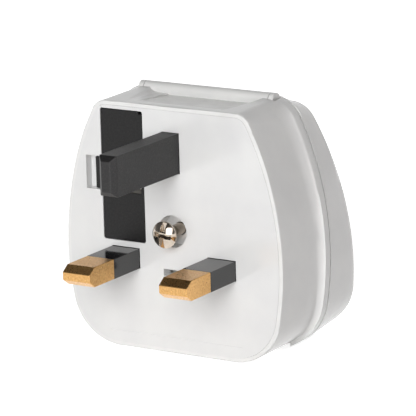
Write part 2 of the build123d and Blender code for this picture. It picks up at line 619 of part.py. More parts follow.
def make_screw_washer():
    """Washer that the thread cannot pull through, so that the screw stays in the plug."""
    washer = rod_back(0, SCREW_RISE, WASHER_RADIUS, WASHER_FRONT, WASHER_BACK)
    return washer - rod_back(0, SCREW_RISE, SHANK_RADIUS + WASHER_GAP, WASHER_FRONT, WASHER_BACK)


def make_lid_nut():
    """Hexagon nut in the lid's boss."""
    hexagon = RegularPolygon(NUT_FLATS / 2, 6, major_radius=False, rotation=30)
    nut = slab(Pos(0, SCREW_RISE) * hexagon, NUT_FRONT, NUT_BACK)
    return nut - rod_back(0, SCREW_RISE, THREAD_RADIUS + WASHER_GAP, NUT_FRONT, NUT_BACK)


def make_head_screw(x, z, radius, head_radius, seat, length):
    """Small screw driven in from behind: flat head with a cross recess, plain shank."""
    head_back = seat + BASE_SCREW_HEAD_THICK
    screw = rod_back(x, z, head_radius, seat, head_back) + rod_back(x, z, radius, seat - length, seat)
    for turn in (0, 90):
        cut = Pos(x, z) * Rot(0, 0, turn) * Rectangle(head_radius, RECESS_WIDTH / 2)
        screw -= slab(cut, head_back - RECESS_DEPTH / 2, head_back)
    return screw


def make_base_screw(x):
    """Screw that holds the base to a boss of the face plate."""
    length = BASE_BACK - PLATE_THICK - BASE_SCREW_TIP_GAP
    return make_head_screw(x, BASE_SCREW_RISE, BASE_SCREW_RADIUS, BASE_SCREW_HEAD, BASE_BACK, length)


def make_cover_screw():
    """Screw that holds the cover to the base, with its head sunk in the cover."""
    return make_head_screw(
        0, COVER_SCREW_RISE, COVER_SCREW_RADIUS, COVER_SCREW_HEAD,
        COVER_BACK - BASE_SCREW_HEAD_THICK, COVER_SCREW_LENGTH,
    )


def lid_form(inset, rounded):
    """Form of the lid, or of its inside when inset by the wall: drafted, leaning back, rear edge rounded."""
    slant = sqrt(1 + LID_LEAN ** 2)
    half_width, top, bottom, top_corner, bottom_corner = grown(1)
    rear = (
        half_width - LID_DRAFT, (top - LID_TOP_DRAFT) * slant, (bottom + LID_DRAFT) * slant,
        top_corner - LID_DRAFT, bottom_corner - LID_DRAFT,
    )
    sections = [upright(LID_FRONT) * outline(grown(1), inset)]
    if rounded:
        for step in range(LID_ROUND_STEPS):
            turn = pi / 2 * step / LID_ROUND_STEPS
            depth = LID_BACK - LID_ROUND * (1 - sin(turn)) * slant
            sections.append(upright(depth, LID_LEAN) * outline(rear, LID_ROUND * (1 - cos(turn))))
        sections.append(upright(LID_BACK, LID_LEAN) * outline(rear, LID_ROUND))
    else:
        sections.append(upright(LID_BACK - inset * slant, LID_LEAN) * outline(rear, inset))
    return loft(sections, ruled=True)


def make_lid():
    """Hinged rear lid: hollow, with a slot for the two-pin plug, a nut boss and two hinge ears."""
    lid = lid_form(0, True)
    lid = chamfer(lid.faces().sort_by(Axis.Y)[0].edges(), EDGE_BEVEL)
    lid -= lid_form(LID_WALL, False)
    boss = rod_back(0, SCREW_RISE, BOSS_RADIUS, BOSS_FRONT, LID_BACK)
    boss -= block(-BOSS_RADIUS, BOSS_RADIUS, 0, 2 * LID_BACK, FACE_BOTTOM, BOSS_BOTTOM)
    lid += boss & lid_form(LID_WALL / 2, False)
    pocket = RegularPolygon(NUT_FLATS / 2 + NUT_FIT, 6, major_radius=False, rotation=30)
    lid -= slab(Pos(0, SCREW_RISE) * pocket, BOSS_FRONT, NUT_BACK)
    lid -= rod_back(0, SCREW_RISE, THREAD_HOLE_RADIUS, NUT_BACK, THREAD_END + SCREW_TRAVEL + NUT_AHEAD)
    lid -= block(-BAY_HALF_WIDTH, BAY_HALF_WIDTH, LID_FRONT, BAY_BACK, 2 * FACE_BOTTOM, BAY_TOP)
    for side in (-1, 1):
        near = side * EAR_START
        far = side * EAR_STOP
        ear = rod_across(HINGE_Y, HINGE_Z, KNUCKLE_RADIUS, min(near, far), max(near, far))
        web = block(
            min(near, far), max(near, far), HINGE_Y, LID_FRONT + LID_WALL / 2,
            HINGE_Z - KNUCKLE_RADIUS, HINGE_Z + KNUCKLE_SINK / 2,
        )
        pin_end = side * (EAR_STOP - EAR_END)
        lid += ear + web
        bore = HINGE_PIN_RADIUS + HINGE_PIN_FIT
        lid -= rod_across(HINGE_Y, HINGE_Z, bore, min(near, pin_end), max(near, pin_end))
    return lid


def make_hinge_pin():
    """Steel pin, held in the lid's ears and free in the knuckle."""
    return rod_across(HINGE_Y, HINGE_Z, HINGE_PIN_RADIUS, -HINGE_PIN_END, HINGE_PIN_END)


pieces = {
    "housing": make_housing(),
    "face_plate": make_face_plate(),
    "earth_pin": make_earth_pin(),
    "live_pin": make_power_pin(-PIN_X),
    "neutral_pin": make_power_pin(PIN_X),
    "live_pin_sleeve": make_sleeve(-PIN_X),
    "neutral_pin_sleeve": make_sleeve(PIN_X),
    "fuse_carrier": make_fuse_carrier(),
    "fuse_barrel": make_fuse_barrel(),
    "fuse_cap_top": make_fuse_cap(FUSE_TOP, FUSE_TOP - CAP_LENGTH),
    "fuse_cap_bottom": make_fuse_cap(FUSE_BOTTOM, FUSE_BOTTOM + CAP_LENGTH),
    "fuse_clip_top": make_upper_clip(),
    "fuse_clip_bottom": make_lower_clip(),
    "contact_base": make_contact_base(),
    "contact_cover": make_contact_cover(),
    "live_contact": make_contact_tube(-GUEST_X) + live_strap(),
    "neutral_contact": make_contact_tube(GUEST_X) + neutral_strap(),
    "clamp_screw": make_clamp_screw(),
    "screw_washer": make_screw_washer(),
    "lid": make_lid(),
    "lid_nut": make_lid_nut(),
    "hinge_pin": make_hinge_pin(),
    "base_screw_left": make_base_screw(-BASE_SCREW_ASIDE),
    "base_screw_right": make_base_screw(BASE_SCREW_ASIDE),
    "cover_screw": make_cover_screw(),
}

os.makedirs("parts", exist_ok=True)
for name, piece in pieces.items():
    export_step(piece, f"parts/{name}.step")
    size = piece.bounding_box().size
    print(f"{name}: {size.X:.2f} x {size.Y:.2f} x {size.Z:.2f} mm, {len(piece.solids())} solid")
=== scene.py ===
# %% [markdown]
# # A conversion plug
# The object is a white moulded plug with three rectangular pins, a fuse carrier and a clamp screw on
# its face. Its back is a lid on a hinge. The solid parts come from the CAD model, in metres, and this
# lesson dresses them: eased edges, finishes for every surface, light and a camera.

# %% Load the solid parts
import json
from math import asin, atan2, cos, pi, radians, sin
import bpy
from mathutils import Matrix, Vector

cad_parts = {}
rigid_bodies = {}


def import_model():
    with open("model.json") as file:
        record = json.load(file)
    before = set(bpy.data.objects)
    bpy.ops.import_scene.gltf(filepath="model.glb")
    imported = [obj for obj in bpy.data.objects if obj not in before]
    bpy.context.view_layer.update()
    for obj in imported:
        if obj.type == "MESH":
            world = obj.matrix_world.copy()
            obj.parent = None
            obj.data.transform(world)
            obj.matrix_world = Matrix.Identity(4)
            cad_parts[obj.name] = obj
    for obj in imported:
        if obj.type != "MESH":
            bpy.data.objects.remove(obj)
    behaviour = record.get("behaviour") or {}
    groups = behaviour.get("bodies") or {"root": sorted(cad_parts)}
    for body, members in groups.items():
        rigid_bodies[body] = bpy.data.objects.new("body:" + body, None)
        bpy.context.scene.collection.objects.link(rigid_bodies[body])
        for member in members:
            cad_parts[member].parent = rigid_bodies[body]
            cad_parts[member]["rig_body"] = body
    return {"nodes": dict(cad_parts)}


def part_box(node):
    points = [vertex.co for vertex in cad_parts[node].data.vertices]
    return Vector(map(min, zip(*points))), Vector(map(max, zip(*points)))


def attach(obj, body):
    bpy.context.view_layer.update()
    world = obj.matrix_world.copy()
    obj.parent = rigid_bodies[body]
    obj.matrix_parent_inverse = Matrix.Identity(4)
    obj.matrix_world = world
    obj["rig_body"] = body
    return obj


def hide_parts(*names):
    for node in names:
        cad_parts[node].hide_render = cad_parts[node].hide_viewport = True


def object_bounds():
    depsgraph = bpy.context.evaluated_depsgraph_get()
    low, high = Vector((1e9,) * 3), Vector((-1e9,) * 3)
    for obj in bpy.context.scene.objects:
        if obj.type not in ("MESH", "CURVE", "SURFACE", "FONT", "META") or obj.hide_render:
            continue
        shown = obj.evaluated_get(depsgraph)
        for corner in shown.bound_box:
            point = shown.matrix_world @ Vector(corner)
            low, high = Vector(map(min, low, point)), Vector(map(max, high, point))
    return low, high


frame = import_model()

cad_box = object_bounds()
MM = 0.001
print("solid parts:", len(frame["nodes"]), "box:", cad_box)

# %% [markdown]
# ## Colours
# A photograph gives colours as they look on a screen, from 0 to 255. The shader wants them linear.
# This helper turns one into the other, so that every finish below is written as it looks.

# %% Screen colours to shader colours
def screen(red, green, blue):
    """Shader colour of a colour read from a screen."""
    def linear(value):
        share = value / 255
        return share / 12.92 if share <= 0.04045 else ((share + 0.055) / 1.055) ** 2.4
    return (linear(red), linear(green), linear(blue), 1.0)


print("white shell:", [round(part, 3) for part in screen(238, 238, 236)])

# %% [markdown]
# ## A finish, step by step
# Real plastic and metal are never one flat colour. Each finish starts from the Principled shader, and
# then takes a slight mottle in its colour, a change in its gloss and a fine grain as bump. They read
# Object coordinates, so the pattern stays fixed to the piece at its true scale.

# %% Helpers for patterns
REFRACTION = 1.6


def new_finish(name, roughness, metallic=0.0):
    """Material with a Principled shader at an even roughness."""
    finish = bpy.data.materials.new(name)
    finish.use_nodes = True
    shader = finish.node_tree.nodes["Principled BSDF"]
    shader.inputs["Roughness"].default_value = roughness
    shader.inputs["Metallic"].default_value = metallic
    shader.inputs["IOR"].default_value = REFRACTION
    return finish


def noise(finish, scale, detail=3.0, stretch=(1, 1, 1)):
    """Noise texture in Object coordinates; stretch above 1 packs it tighter along that axis."""
    nodes, links = finish.node_tree.nodes, finish.node_tree.links
    place = nodes.new("ShaderNodeTexCoord")
    mapping = nodes.new("ShaderNodeMapping")
    mapping.inputs["Scale"].default_value = stretch
    texture = nodes.new("ShaderNodeTexNoise")
    texture.inputs["Scale"].default_value = scale
    texture.inputs["Detail"].default_value = detail
    links.new(place.outputs["Object"], mapping.inputs["Vector"])
    links.new(mapping.outputs["Vector"], texture.inputs["Vector"])
    return texture.outputs["Fac"]


def ramp(finish, source, stops):
    """Colour ramp fed by a source; stops are (place, colour)."""
    node = finish.node_tree.nodes.new("ShaderNodeValToRGB")
    node.color_ramp.elements[0].position, node.color_ramp.elements[0].color = stops[0]
    node.color_ramp.elements[1].position, node.color_ramp.elements[1].color = stops[-1]
    for place, colour in stops[1:-1]:
        node.color_ramp.elements.new(place).color = colour
    finish.node_tree.links.new(source, node.inputs["Fac"])
    return node.outputs["Color"]


def map_range(nodes, links, source, given, wanted):
    """Value moved from the span given to the span wanted."""
    spread = nodes.new("ShaderNodeMapRange")
    spread.inputs["From Min"].default_value, spread.inputs["From Max"].default_value = given
    spread.inputs["To Min"].default_value, spread.inputs["To Max"].default_value = wanted
    links.new(source, spread.inputs["Value"])
    return spread.outputs["Result"]


print("pattern helpers ready")

# %% Helpers that drive the shader
NOISE_SPAN = (0.3, 0.7)


def colour_from(finish, source):
    """Plug a colour into the shader."""
    shader = finish.node_tree.nodes["Principled BSDF"]
    finish.node_tree.links.new(source, shader.inputs["Base Color"])


def gloss_between(finish, source, low, high):
    """Roughness that wanders between two values."""
    nodes, links = finish.node_tree.nodes, finish.node_tree.links
    roughness = map_range(nodes, links, source, NOISE_SPAN, (low, high))
    links.new(roughness, nodes["Principled BSDF"].inputs["Roughness"])


def bump_from(finish, source, strength, height):
    """Fine relief; height is in metres."""
    bump = finish.node_tree.nodes.new("ShaderNodeBump")
    bump.inputs["Strength"].default_value = strength
    bump.inputs["Distance"].default_value = height
    finish.node_tree.links.new(source, bump.inputs["Height"])
    shader = finish.node_tree.nodes["Principled BSDF"]
    finish.node_tree.links.new(bump.outputs["Normal"], shader.inputs["Normal"])


print("shader helpers ready")

# %% [markdown]
# ## White moulded plastic
# The shell and lid are one white plastic with a satin gloss. The mould leaves a very faint flow mottle
# and a soft, slightly uneven surface. The face plate is the same plastic, a touch greyer.

# %% White finishes
def moulded_white(name, light, dark, low=0.15, high=0.2):
    """Satin white plastic with a faint mottle."""
    finish = new_finish(name, (low + high) / 2)
    colour_from(finish, ramp(finish, noise(finish, 120, 4), [(0.35, dark), (0.65, light)]))
    gloss_between(finish, noise(finish, 400, 2), low, high)
    bump_from(finish, noise(finish, 1500, 2), 0.12, 0.04 * MM)
    return finish


shell_white = moulded_white("shell white", screen(240, 240, 238), screen(235, 235, 234))
plate_white = moulded_white("plate white", screen(236, 236, 235), screen(231, 231, 231))
inner_white = moulded_white("inner plastic", screen(222, 221, 214), screen(212, 211, 204), 0.45, 0.6)
print("white finishes: 3")

# %% [markdown]
# ## Black plastic
# The earth pin is black plastic with a fine matt texture that looks speckled where light skims its top.
# The sleeves are smooth and shiny. The fuse carrier lies between the two.

# %% Black finishes
def matt_black(name, roughness, mirror, grain_scale, stops, grain_depth, grain_height):
    """Grained black plastic whose colour and bump share one grain; mirror is the share it reflects."""
    finish = new_finish(name, roughness)
    finish.node_tree.nodes["Principled BSDF"].inputs["Specular IOR Level"].default_value = mirror
    grain = noise(finish, grain_scale, 2)
    colour_from(finish, ramp(finish, grain, stops))
    bump_from(finish, grain, grain_depth, grain_height)
    return finish


earth_stops = [(0.45, screen(17, 16, 17)), (0.72, screen(40, 38, 38))]
earth_black = matt_black("earth pin black", 0.5, 0.4, 3800, earth_stops, 0.45, 0.06 * MM)

sleeve_black = new_finish("sleeve black", 0.1)
sleeve_stops = [(0.4, screen(18, 18, 19)), (0.65, screen(27, 27, 28))]
colour_from(sleeve_black, ramp(sleeve_black, noise(sleeve_black, 500, 3), sleeve_stops))
gloss_between(sleeve_black, noise(sleeve_black, 900, 2), 0.09, 0.14)
bump_from(sleeve_black, noise(sleeve_black, 400, 1), 0.06, 0.04 * MM)

carrier_stops = [(0.4, screen(14, 13, 14)), (0.66, screen(25, 24, 24))]
carrier_black = matt_black("carrier black", 0.42, 0.25, 2600, carrier_stops, 0.25, 0.05 * MM)
print("black finishes: 3")

# %% [markdown]
# ## Metals
# The brass pins are milled, then tumbled: fine lines run along them, and a thin tarnish darkens them in
# patches. The contacts inside are plain sheet brass. The screw and fuse caps are nickel plated, and the
# small hidden screws are zinc plated.

# %% Metal finishes
EVEN, ALONG_THE_PIN = (1, 1, 1), (1, 0.3, 1)


def metal(name, bright, dull, low, high, lines=EVEN, line_scale=900, patch=260):
    """Metal with patches of tarnish and fine tool lines; bright and dull are screen colours."""
    finish = new_finish(name, (low + high) / 2, 1.0)
    stops = [(0.35, screen(*dull)), (0.62, screen(*bright))]
    colour_from(finish, ramp(finish, noise(finish, patch, 6), stops))
    tool_lines = noise(finish, line_scale, 3, lines)
    gloss_between(finish, tool_lines, low, high)
    bump_from(finish, tool_lines, 0.25, 0.04 * MM)
    return finish


pin_brass = metal("pin brass", (222, 178, 116), (202, 153, 94), 0.25, 0.38, ALONG_THE_PIN, 3600, 2600)
sheet_brass = metal("sheet brass", (222, 186, 118), (196, 156, 92), 0.2, 0.34)
nickel = metal("nickel plate", (206, 196, 184), (178, 166, 152), 0.07, 0.14)
zinc = metal("zinc plate", (176, 176, 178), (146, 146, 150), 0.25, 0.4)
print("metal finishes: 4")

# %% [markdown]
# ## Fuse ceramic
# The fuse is a cream ceramic tube, glazed by firing, with a very faint mottle. It hides behind the
# carrier and comes into sight when the carrier is pulled out.

# %% Ceramic finish
ceramic = new_finish("fuse ceramic", 0.3)
ceramic_stops = [(0.4, screen(232, 226, 212)), (0.65, screen(240, 236, 226))]
colour_from(ceramic, ramp(ceramic, noise(ceramic, 300, 4), ceramic_stops))
print("ceramic ready")

# %% [markdown]
# ## Finishes onto the solid parts
# Every solid part keeps its exact shape and takes a finish by its material slot.

# %% Assign finishes
wears = {
    "housing": shell_white, "lid": shell_white, "face_plate": plate_white,
    "earth_pin": earth_black, "live_pin_sleeve": sleeve_black, "neutral_pin_sleeve": sleeve_black,
    "fuse_carrier": carrier_black, "live_pin": pin_brass, "neutral_pin": pin_brass,
    "fuse_clip_top": sheet_brass, "fuse_clip_bottom": sheet_brass,
    "live_contact": sheet_brass, "neutral_contact": sheet_brass,
    "fuse_barrel": ceramic, "fuse_cap_top": nickel, "fuse_cap_bottom": nickel,
    "contact_base": inner_white, "contact_cover": inner_white,
    "clamp_screw": nickel, "screw_washer": zinc, "lid_nut": zinc, "hinge_pin": zinc,
    "base_screw_left": zinc, "base_screw_right": zinc, "cover_screw": zinc,
}
for name, finish in wears.items():
    part = frame["nodes"][name]
    part.data.materials.clear()
    part.data.materials.append(finish)
print("finished parts:", len(wears))

# %% [markdown]
# ## Eased edges
# Moulded plastic and tumbled brass have no knife edges: a tiny round along each one catches a thin line
# of light. Each solid part that shows is copied, the seams between its faces are merged, its curves are
# smoothed by angle, and a narrow bevel with hardened normals eases the edges while flat faces stay flat.
# The copy stands for the solid part and rides on the same body.

# %% Helpers for eased copies
SEAM = 0.002 * MM
NEARLY_FLAT = radians(0.2)
PART_SMOOTH, SHELL_SMOOTH = 32, 50
EASE_STEPS = 3
FULL_WEIGHT = 100


def merged_copy(name, smooth_up_to=PART_SMOOTH):
    """Copy of a solid part, with seams merged and curves smoothed; it is left active."""
    source = frame["nodes"][name]
    piece = bpy.data.objects.new(name + "_eased", source.data.copy())
    bpy.context.collection.objects.link(piece)
    bpy.ops.object.select_all(action="DESELECT")
    piece.select_set(True)
    bpy.context.view_layer.objects.active = piece
    bpy.ops.mesh.customdata_custom_splitnormals_clear()
    bpy.ops.object.mode_set(mode="EDIT")
    bpy.ops.mesh.select_all(action="SELECT")
    bpy.ops.mesh.remove_doubles(threshold=SEAM)
    bpy.ops.mesh.dissolve_limited(angle_limit=NEARLY_FLAT)
    bpy.ops.object.mode_set(mode="OBJECT")
    bpy.ops.object.shade_smooth_by_angle(angle=radians(smooth_up_to))
    return piece


def ease(piece, width, sharper_than=35):
    """Narrow round on every edge sharper than an angle."""
    bevel = piece.modifiers.new("eased edges", "BEVEL")
    bevel.width = width
    bevel.segments = EASE_STEPS
    bevel.limit_method = "ANGLE"
    bevel.angle_limit = radians(sharper_than)
    bevel.use_clamp_overlap = False
    bevel.harden_normals = True
    bpy.ops.object.modifier_apply(modifier=bevel.name)


def level(piece):
    """Normals that follow the larger faces: a narrow chamfer looks round, flat faces stay flat."""
    normals = piece.modifiers.new("level normals", "WEIGHTED_NORMAL")
    normals.mode = "FACE_AREA"
    normals.weight = FULL_WEIGHT
    normals.keep_sharp = True
    bpy.ops.object.modifier_apply(modifier=normals.name)


def stands_for(piece, name):
    """The piece replaces a solid part, wears its finish and rides on its body."""
    piece.data.materials.clear()
    piece.data.materials.append(wears[name])
    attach(piece, frame["nodes"][name]["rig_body"])
    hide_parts(name)


print("edge helpers ready")

# %% [markdown]
# ## Lid
# The lid is moulded in one piece, with broad chamfers around its back that run smoothly into its sides.
# They could be rounded for real, but they already have their shape in the solid part. Weighted normals
# are enough to let the light roll over them.

# %% Lid with round-looking chamfers
lid = merged_copy("lid", SHELL_SMOOTH)
level(lid)
stands_for(lid, "lid")
print("lid smoothed:", len(lid.data.polygons), "faces")

# %% [markdown]
# ## Front shell and its cove
# The side wall of the shell runs into its rim in a cove, which catches the front light as a bright band.
# The solid part has the cove as a gentle quarter turn. Here the outside of the side walls is drawn in a
# little, most where the cove starts, so that the wall stays flat for longer and then turns out sharply.
# Points on the outside are known by their normals, which look away from the middle. One smooth function
# of depth moves them all, so that points inside the flat faces stay in line with those on the edges.

# %% Front shell with a sharper cove
COVE_START, COVE_LEAN, RIM_FRONT = 12.34 * MM, -0.068, 14.07 * MM
DRAWN_IN = 0.5 * MM
HINGE_HALF_LENGTH, FADE_LENGTH = 15.7 * MM, 2.5 * MM
LOOKS_SIDEWAYS = 0.3
shell = merged_copy("housing", SHELL_SMOOTH)
shell_middle = (cad_box[0] + cad_box[1]) / 2


def share_drawn(depth, start):
    """Share of the full inward shift: it grows up to the cove's start and fades out along the cove."""
    if depth < start:
        return max(0, depth / start)
    turn = asin(min(1, (depth - start) / (RIM_FRONT - start)))
    return cos(turn) ** 3


outward = [Vector((corner.normal.x, 0, corner.normal.z)) for corner in shell.data.vertices]
moved = 0
for corner, way in zip(shell.data.vertices, outward):
    faces_out = way.x * corner.co.x + way.z * (corner.co.z - shell_middle.z) > 0
    past_hinge = min(1, (abs(corner.co.x) - HINGE_HALF_LENGTH) / FADE_LENGTH)
    if faces_out and way.length > LOOKS_SIDEWAYS and past_hinge > 0 and corner.co.y < RIM_FRONT:
        cove_start = COVE_START + COVE_LEAN * corner.co.z
        corner.co -= way.normalized() * DRAWN_IN * past_hinge * share_drawn(corner.co.y, cove_start)
        moved += 1
print("points drawn in:", moved)
level(shell)
stands_for(shell, "housing")

# %% [markdown]
# ## Pins, sleeves and carrier
# The brass pins are cut from bar and tumbled, so their edges are the softest. The earth pin and the
# carrier come from moulds with slightly blunt corners, and the thin sleeves, moulded around the pins,
# keep the sharpest. Each width below is the width of that round in millimetres.

# %% Pins, sleeves and carrier with eased edges
eased_parts = {
    "earth_pin": (0.14, "pin_black"), "fuse_carrier": (0.1, "carrier_black"),
    "live_pin": (0.16, "pin_brass"), "neutral_pin": (0.16, "pin_brass"),
    "live_pin_sleeve": (0.06, "sleeve_black"), "neutral_pin_sleeve": (0.06, "sleeve_black"),
}
for name, (width, slot) in eased_parts.items():
    piece = merged_copy(name)
    ease(piece, width * MM)
    stands_for(piece, name)
    print(name, "eased:", len(piece.data.polygons), "faces")

# %% [markdown]
# ## Face plate
# The plate lies in the shell with a hair of a gap, and the gap is shallow: a fin on the plate's edge
# closes it just behind the face, so it shows as a faint line. The side wall of the copy is cut a little
# behind the face, and the part behind the cut is pushed out until it nearly meets the shell.

# %% Face plate with a closed gap
FIN_DEPTH = 0.2 * MM
FIN_REACH = 0.115 * MM
WALL_BAND = 0.5 * MM
LOOKS_RIGHT = 0.9
WALL_TURN = 32
plate = merged_copy("face_plate", SHELL_SMOOTH)
bpy.ops.object.mode_set(mode="EDIT")
bpy.ops.mesh.select_all(action="SELECT")
bpy.ops.mesh.bisect(plane_co=(0, FIN_DEPTH, 0), plane_no=(0, 1, 0))
bpy.ops.mesh.select_mode(type="FACE")
bpy.ops.mesh.select_all(action="DESELECT")
bpy.ops.object.mode_set(mode="OBJECT")
plate_low, plate_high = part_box("face_plate")
outer_wall = [
    side for side in plate.data.polygons
    if side.center.y > FIN_DEPTH and side.normal.x > LOOKS_RIGHT and side.center.x > plate_high.x - WALL_BAND
]
outer_wall[0].select = True
bpy.ops.object.mode_set(mode="EDIT")
bpy.ops.mesh.faces_select_linked_flat(sharpness=radians(WALL_TURN))
bpy.ops.object.mode_set(mode="OBJECT")
for side in plate.data.polygons:
    side.select = side.select and side.center.y > FIN_DEPTH
print("faces of the fin:", sum(side.select for side in plate.data.polygons))
bpy.ops.object.mode_set(mode="EDIT")
bpy.ops.transform.shrink_fatten(value=FIN_REACH)
bpy.ops.object.mode_set(mode="OBJECT")
level(plate)
stands_for(plate, "face_plate")

# %% [markdown]
# ## Clamp screw
# The nickel screw has a shallow dome, a thin rim, a plain shank and a thread of fine ridges. It is drawn
# out like turned work: a disc at the tip is extruded forward station by station, and each new end is
# resized to the radius there. Two cutters then make the slot and the deeper cross in the dome, and a
# fine bevel gives every edge of the recess its bright line.

# %% Stations along the screw
screw_low, screw_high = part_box("clamp_screw")
SCREW_X, SCREW_Z = (screw_low.x + screw_high.x) / 2, (screw_low.z + screw_high.z) / 2
HEAD_RADIUS = (screw_high.x - screw_low.x) / 2
DOME_HEIGHT, RIM_THICK, RIM_EASE = 1.05 * MM, 0.45 * MM, 0.12 * MM
SHANK_RADIUS, THREAD_RADIUS, THREAD_ROOT = 1.2 * MM, 1.5 * MM, 1.25 * MM
THREAD_LENGTH, THREAD_PITCH = 8.9 * MM, 0.5 * MM
DOME_RINGS, SCREW_SIDES = 12, 48
ball_radius = (HEAD_RADIUS ** 2 + DOME_HEIGHT ** 2) / (2 * DOME_HEIGHT)
dome_angle = atan2(HEAD_RADIUS, ball_radius - DOME_HEIGHT)
rim_front = screw_low.y + DOME_HEIGHT
rim_back = rim_front + RIM_THICK
thread_front = screw_high.y - THREAD_LENGTH

stations = []
ridge = screw_high.y - THREAD_PITCH / 2
while ridge - THREAD_PITCH / 2 > thread_front:
    stations += [(ridge, THREAD_RADIUS), (ridge - THREAD_PITCH / 2, THREAD_ROOT)]
    ridge -= THREAD_PITCH
stations += [(thread_front, SHANK_RADIUS), (rim_back, SHANK_RADIUS), (rim_back, HEAD_RADIUS - RIM_EASE)]
stations += [(rim_back - RIM_EASE, HEAD_RADIUS), (rim_front, HEAD_RADIUS)]
for ring in range(1, DOME_RINGS):
    angle = dome_angle * (1 - ring / DOME_RINGS)
    stations.append((screw_low.y + ball_radius * (1 - cos(angle)), ball_radius * sin(angle)))
print("screw stations:", len(stations))

# %% Screw drawn out from its tip
bpy.ops.object.select_all(action="DESELECT")
bpy.ops.mesh.primitive_circle_add(
    vertices=SCREW_SIDES, radius=SHANK_RADIUS, fill_type="NGON",
    location=(SCREW_X, screw_high.y, SCREW_Z), rotation=(pi / 2, 0, 0),
)
screw = bpy.context.object
screw.name = "clamp_screw_turned"
bpy.ops.object.transform_apply(location=True, rotation=True, scale=True)
bpy.ops.object.mode_set(mode="EDIT")
bpy.ops.mesh.select_all(action="SELECT")
here, radius = screw_high.y, SHANK_RADIUS
for station, wanted in stations:
    bpy.ops.mesh.extrude_region_move(TRANSFORM_OT_translate={"value": (0, station - here, 0)})
    bpy.ops.transform.resize(
        value=(wanted / radius, 1, wanted / radius), center_override=(SCREW_X, station, SCREW_Z)
    )
    here, radius = station, wanted
bpy.ops.mesh.select_all(action="SELECT")
bpy.ops.mesh.remove_doubles(threshold=SEAM)
bpy.ops.mesh.normals_make_consistent(inside=False)
bpy.ops.object.mode_set(mode="OBJECT")
print("screw blank:", len(screw.data.polygons), "faces")

# %% Slot and cross
RECESS_TILT = radians(8)
CUT_WIDTH, CUTTER_HEIGHT = 0.95 * MM, 2 * MM
SLOT_LENGTH, SLOT_DEPTH = 2.2 * HEAD_RADIUS, 0.95 * MM
CROSS_LENGTH, CROSS_DEPTH = 3.7 * MM, 1.25 * MM
RECESS_EASE, RECESS_SHARP = 0.05 * MM, 50


def cut_recess(piece, length, depth, tilt):
    """Bar-shaped cut across the dome, depth below its top, on the screw's axis."""
    bpy.ops.object.select_all(action="DESELECT")
    bpy.ops.mesh.primitive_cube_add(
        size=1, location=(SCREW_X, screw_low.y + depth - CUTTER_HEIGHT / 2, SCREW_Z), rotation=(0, tilt, 0),
        scale=(CUT_WIDTH, CUTTER_HEIGHT, length),
    )
    cutter = bpy.context.object
    bpy.context.view_layer.objects.active = piece
    cut = piece.modifiers.new("recess", "BOOLEAN")
    cut.operation, cut.solver, cut.object = "DIFFERENCE", "EXACT", cutter
    bpy.ops.object.modifier_apply(modifier=cut.name)
    bpy.data.objects.remove(cutter)


cut_recess(screw, SLOT_LENGTH, SLOT_DEPTH, RECESS_TILT)
cut_recess(screw, CROSS_LENGTH, CROSS_DEPTH, RECESS_TILT + pi / 2)
bpy.ops.object.select_all(action="DESELECT")
screw.select_set(True)
bpy.context.view_layer.objects.active = screw
bpy.ops.object.shade_smooth_by_angle(angle=radians(PART_SMOOTH))
ease(screw, RECESS_EASE, RECESS_SHARP)
stands_for(screw, "clamp_screw")
print("screw:", len(screw.data.polygons), "faces")

# %% [markdown]
# ## Floor and light
# The plug stands on a plain pale floor in front of white. A broad lamp in front and a little above
# lights the face, draws the bright line along the cove and gives the short soft shadows under the
# pins. Two narrow strips at the right lift the side wall and its corner. Two lamps behind light the
# lid and the left wall; they aren't mirrored, or they would glare on the top.
# What shiny parts mirror is a second matter: the room is pale low down and behind, and dark in front
# and above. That gives the brass its dark upper bevels and the screw its dark and bright patches.
# The floor comes first.

# %% Floor
FLOOR_GAP = 0.05 * MM
FLOOR_SIZE = 6.0
FLOOR_WHITE, FLOOR_LIFT = 0.88, 0.86


def is_seen(nodes, links):
    """1 for a ray that the camera sees, mirrored or through glass too, and 0 for one that only lights."""
    path = nodes.new("ShaderNodeLightPath")
    seen = path.outputs["Is Camera Ray"]
    for kind in ("Is Glossy Ray", "Is Transmission Ray"):
        either = nodes.new("ShaderNodeMath")
        either.operation = "MAXIMUM"
        links.new(seen, either.inputs[0])
        links.new(path.outputs[kind], either.inputs[1])
        seen = either.outputs[0]
    return seen


def stage_finish():
    """White floor; what the camera sees of it is lifted towards white, and it keeps the shadow."""
    finish = bpy.data.materials.new("floor white")
    finish.use_nodes = True
    nodes, links = finish.node_tree.nodes, finish.node_tree.links
    nodes.clear()
    out = nodes.new("ShaderNodeOutputMaterial")
    diffuse = nodes.new("ShaderNodeBsdfDiffuse")
    diffuse.inputs["Color"].default_value = (FLOOR_WHITE, FLOOR_WHITE, FLOOR_WHITE, 1)
    glow = nodes.new("ShaderNodeEmission")
    glow.inputs["Strength"].default_value = FLOOR_LIFT
    both = nodes.new("ShaderNodeAddShader")
    choose = nodes.new("ShaderNodeMixShader")
    links.new(diffuse.outputs[0], both.inputs[0])
    links.new(glow.outputs[0], both.inputs[1])
    links.new(is_seen(nodes, links), choose.inputs[0])
    links.new(diffuse.outputs[0], choose.inputs[1])
    links.new(both.outputs[0], choose.inputs[2])
    links.new(choose.outputs[0], out.inputs["Surface"])
    return finish


floor_z = cad_box[0].z - FLOOR_GAP
bpy.ops.object.select_all(action="DESELECT")
bpy.ops.mesh.primitive_plane_add(size=FLOOR_SIZE, location=(0, 0, floor_z))
floor = bpy.context.object
floor.name = "floor"
floor.data.materials.append(stage_finish())
print("floor at", round(floor_z, 5))

# %% [markdown]
# ## The room
# The room does two jobs. Rays that only light the plug meet a weak white that fades upwards, so the top
# stays greyer than the face. The camera sees plain white, and shiny parts mirror the studio: pale
# towards the pale side, dark away from it.

